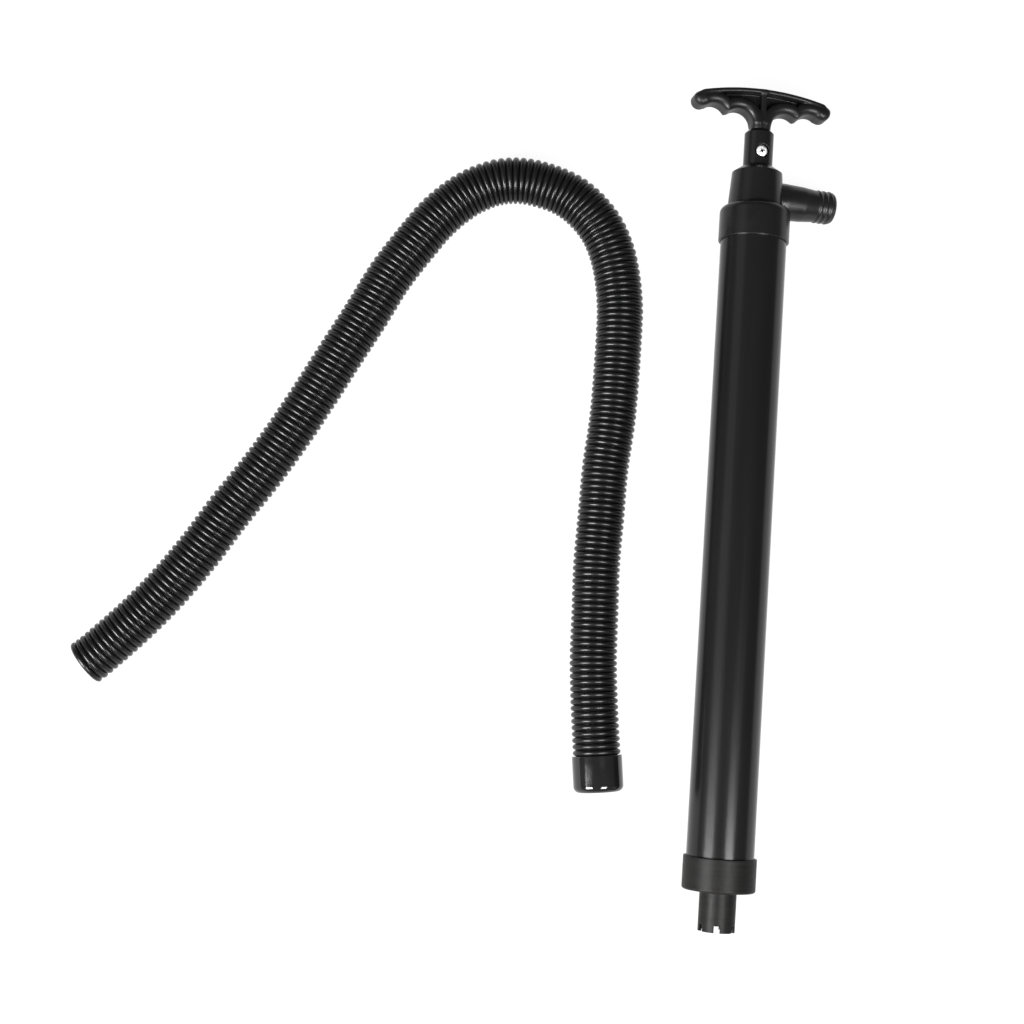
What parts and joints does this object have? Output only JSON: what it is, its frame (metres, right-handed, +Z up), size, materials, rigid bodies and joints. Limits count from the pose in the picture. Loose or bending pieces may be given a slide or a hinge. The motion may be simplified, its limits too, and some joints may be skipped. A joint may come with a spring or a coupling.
{
  "type": "bilge pump",
  "caption": "Hand bilge pump: plunger in a black pipe barrel, T-handle, side spout, notched inlet nozzle, and a loose corrugated hose with a cuff.",
  "frame": {"origin": "on the surface the pump lies on, under the middle of the pump's own box (the loose hose is left out of it)", "axes": "+Y along the pump from the inlet nozzle to the handle, +Z up from the surface, +X to the side the spout points to"},
  "size_m": [0.5568, 0.6347, 0.0542],
  "materials": {
    "barrel_pvc": "satin black pipe with long drawing marks",
    "cap_plastic": "matte dark warm grey",
    "nozzle_plastic": "matte dark warm grey",
    "head_plastic": "satin black moulding",
    "spout_plastic": "satin black moulding",
    "rod_pvc": "satin black pipe",
    "handle_plastic": "satin black moulding, fine grain",
    "screw_chrome": "polished",
    "hose_plastic": "semi-gloss black",
    "cuff_rubber": "high gloss black",
    "inner_nylon": "moulded nylon",
    "seal_rubber": "matte rubber",
    "valve_rubber": "matte rubber",
    "inner_steel": "stainless, turned"
  },
  "bodies": {
    "barrel": {"barrel_tube": "barrel_pvc", "bottom_cap": "cap_plastic", "inlet_nozzle": "nozzle_plastic", "foot_valve_seat": "inner_nylon", "top_collar": "head_plastic", "pump_head": "head_plastic", "outlet_spout": "spout_plastic", "head_o_ring": "seal_rubber", "rod_bush": "inner_nylon", "rod_seal": "seal_rubber"},
    "foot_valve": {"foot_valve_disc": "valve_rubber", "foot_valve_stem": "inner_nylon", "foot_valve_clip": "inner_steel"},
    "piston": {"piston_body": "inner_nylon", "piston_cup": "seal_rubber", "cup_washer": "inner_steel"},
    "piston_valve": {"piston_flap": "valve_rubber"},
    "plunger": {"plunger_rod": "rod_pvc", "rod_end_plug": "inner_nylon", "piston_screw": "inner_steel", "handle": "handle_plastic", "handle_screw": "screw_chrome"},
    "hose": {"hose": "hose_plastic", "hose_cuff": "cuff_rubber"}
  },
  "joints": [
    {"name": "foot_valve_lift", "type": "slide", "parent": "barrel", "child": "foot_valve", "axis": [0, 1, 0], "range_m": [0, 0.003]},
    {"name": "plunger_slide", "type": "slide", "parent": "barrel", "child": "piston", "axis": [0, 1, 0], "range_m": [0, 0.447]},
    {"name": "piston_valve_lift", "type": "slide", "parent": "piston", "child": "piston_valve", "axis": [0, 1, 0], "range_m": [0, 0.004]},
    {"name": "handle_spin", "type": "hinge", "parent": "piston", "child": "plunger", "pos_m": [-0.00439, 0, 0.0271], "axis": [0, 1, 0], "continuous": true},
    {"name": "hose_move", "type": "slide", "parent": "barrel", "child": "hose", "axis": [-1, 0, 0], "range_m": [0, 0.12]}
  ]
}
